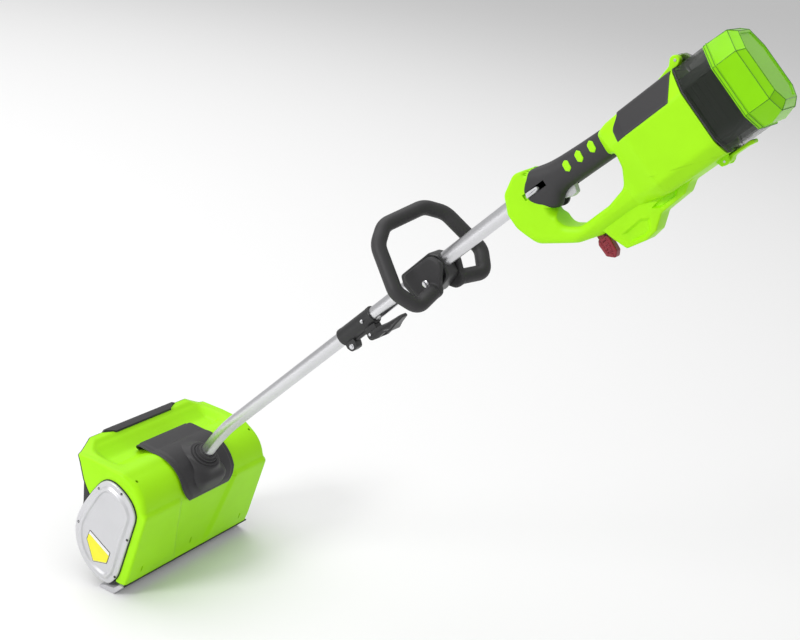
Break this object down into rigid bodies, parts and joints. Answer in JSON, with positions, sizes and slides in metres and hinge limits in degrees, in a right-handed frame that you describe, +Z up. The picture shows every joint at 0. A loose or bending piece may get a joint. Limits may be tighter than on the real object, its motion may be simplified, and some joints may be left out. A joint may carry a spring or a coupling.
{
  "type": "cordless snow shovel",
  "caption": "Battery snow shovel: a powered paddle rotor in a scoop-shaped head on a two-piece pole with an adjustable loop handle and a trigger grip.",
  "frame": {"origin": "middle of the wear bar's flat underside, on the ground", "axes": "+X to the user's right, +Y forward away from the user, +Z up; the pole rises backwards at 49 degrees"},
  "size_m": [0.335, 0.9367, 1.0452],
  "materials": {
    "green_plastic": "satin moulded plastic, lime green",
    "dark_plastic": "fine textured, charcoal",
    "grip_rubber": "soft touch, charcoal",
    "black_plastic": "black, slight sheen",
    "silver_cover": "satin silver paint on plastic",
    "light_grey_plastic": "light grey, worn smooth",
    "aluminium": "satin drawn",
    "steel": "turned",
    "belt_rubber": "black",
    "red_plastic": "dark red",
    "smoked_clear": "smoked see-through plastic",
    "green_clear": "green see-through plastic",
    "board_green": "circuit board lacquer"
  },
  "bodies": {
    "head": {"head_shell": "green_plastic", "left_side_plate": "dark_plastic", "right_side_plate": "dark_plastic", "left_rotor_bearing": "steel", "right_rotor_bearing": "steel", "belt_cover": "silver_cover", "cover_seal": "belt_rubber", "right_end_cover": "dark_plastic", "scraper_bar": "light_grey_plastic", "lip_trim": "black_plastic", "inner_shroud": "dark_plastic", "motor_cover": "dark_plastic", "idler_post": "steel", "motor_can": "steel", "motor_end_bell": "aluminium", "motor_brush_cap": "black_plastic", "drive_belt": "belt_rubber", "lower_pipe": "aluminium", "lower_cable": "belt_rubber", "pipe_socket": "aluminium", "pipe_boot": "grip_rubber"},
    "rotor": {"rotor_shaft": "steel", "rotor_hub": "black_plastic", "rotor_paddle_1": "grip_rubber", "rotor_paddle_2": "grip_rubber", "rotor_paddle_3": "grip_rubber", "rotor_paddle_4": "grip_rubber", "rotor_pulley": "aluminium"},
    "motor_rotor": {"motor_shaft": "steel", "motor_pulley": "steel"},
    "idler": {"idler_pulley": "black_plastic"},
    "upper_pole": {"coupler_body": "black_plastic", "coupler_bolt": "steel", "lever_pin": "steel", "upper_pipe": "aluminium", "upper_cable": "belt_rubber", "handle_left_half": "green_plastic", "handle_right_half": "green_plastic", "grip_sleeve": "grip_rubber", "top_pad": "dark_plastic", "trigger_pin": "steel", "trigger_switch": "black_plastic", "controller_board": "board_green", "terminal_block": "black_plastic", "hood_pin": "steel", "latch_pin": "steel"},
    "clamp_lever": {"coupler_lever": "black_plastic"},
    "spring_button": {"coupler_button": "steel"},
    "bail_slider": {"bail_block": "black_plastic"},
    "bail": {"bail_loop": "grip_rubber", "bail_bolt": "steel"},
    "knob": {"bail_knob": "black_plastic"},
    "trigger_lever": {"trigger": "light_grey_plastic"},
    "lock_slider": {"lock_off_slider": "silver_cover"},
    "hood": {"battery_hood": "smoked_clear", "battery_hood_cap": "green_clear"},
    "latch": {"hood_latch": "green_plastic"},
    "battery": {"battery_pack": "black_plastic"},
    "battery_button": {"battery_release_button": "red_plastic"},
    "key": {"safety_key": "red_plastic"}
  },
  "joints": [
    {"name": "rotor_spin", "type": "hinge", "parent": "head", "child": "rotor", "pos_m": [0, 0.016, 0.07], "axis": [1, 0, 0], "continuous": true},
    {"name": "motor_spin", "type": "hinge", "parent": "head", "child": "motor_rotor", "pos_m": [0, 0, 0.166], "axis": [1, 0, 0], "continuous": true},
    {"name": "idler_spin", "type": "hinge", "parent": "head", "child": "idler", "pos_m": [0, 0.043, 0.121], "axis": [1, 0, 0], "continuous": true},
    {"name": "pole_split", "type": "slide", "parent": "head", "child": "upper_pole", "axis": [0, -0.6561, 0.7547], "range_m": [0, 0.08]},
    {"name": "clamp_lever_swing", "type": "hinge", "parent": "upper_pole", "child": "clamp_lever", "pos_m": [0, -0.32229, 0.51071], "axis": [1, 0, 0], "range_deg": [0, 95]},
    {"name": "spring_button_press", "type": "slide", "parent": "upper_pole", "child": "spring_button", "axis": [1, 0, 0], "range_m": [0, 0.0025], "stiffness_N_per_m": 800, "springref_m": -0.003},
    {"name": "bail_slide", "type": "slide", "parent": "upper_pole", "child": "bail_slider", "axis": [0, -0.6561, 0.7547], "range_m": [-0.03, 0.08]},
    {"name": "bail_tilt", "type": "hinge", "parent": "bail_slider", "child": "bail", "pos_m": [0, -0.40519, 0.61751], "axis": [1, 0, 0], "range_deg": [-30, 30]},
    {"name": "bail_knob_turn", "type": "hinge", "parent": "bail", "child": "knob", "pos_m": [0, -0.40519, 0.61751], "axis": [1, 0, 0], "continuous": true},
    {"name": "trigger_pull", "type": "hinge", "parent": "upper_pole", "child": "trigger_lever", "pos_m": [0, -0.5543, 0.79133], "axis": [-1, 0, 0], "range_deg": [0, 8], "stiffness_Nm_per_rad": 1, "springref_deg": -8.59},
    {"name": "lock_off_slide", "type": "slide", "parent": "upper_pole", "child": "lock_slider", "axis": [0, -0.6561, 0.7547], "range_m": [0, 0.008], "stiffness_N_per_m": 200, "springref_m": -0.005},
    {"name": "hood_open", "type": "hinge", "parent": "upper_pole", "child": "hood", "pos_m": [0, -0.68957, 0.99572], "axis": [-1, 0, 0], "range_deg": [0, 100]},
    {"name": "hood_latch_swing", "type": "hinge", "parent": "upper_pole", "child": "latch", "pos_m": [0, -0.77722, 0.88772], "axis": [1, 0, 0], "range_deg": [0, 12], "stiffness_Nm_per_rad": 0.6, "springref_deg": -6.88},
    {"name": "battery_slide", "type": "slide", "parent": "upper_pole", "child": "battery", "axis": [0, -0.6561, 0.7547], "range_m": [0, 0.008]},
    {"name": "battery_button_press", "type": "slide", "parent": "battery", "child": "battery_button", "axis": [0, -0.7547, -0.6561], "range_m": [0, 0.002], "stiffness_N_per_m": 600, "springref_m": -0.003},
    {"name": "key_pull", "type": "slide", "parent": "upper_pole", "child": "key", "axis": [0, -0.7547, -0.6561], "range_m": [0, 0.014]}
  ],
  "couplings": [
    {"joint": "motor_spin", "follows": "rotor_spin", "ratio": 3.0588},
    {"joint": "idler_spin", "follows": "rotor_spin", "ratio": 3.25}
  ]
}
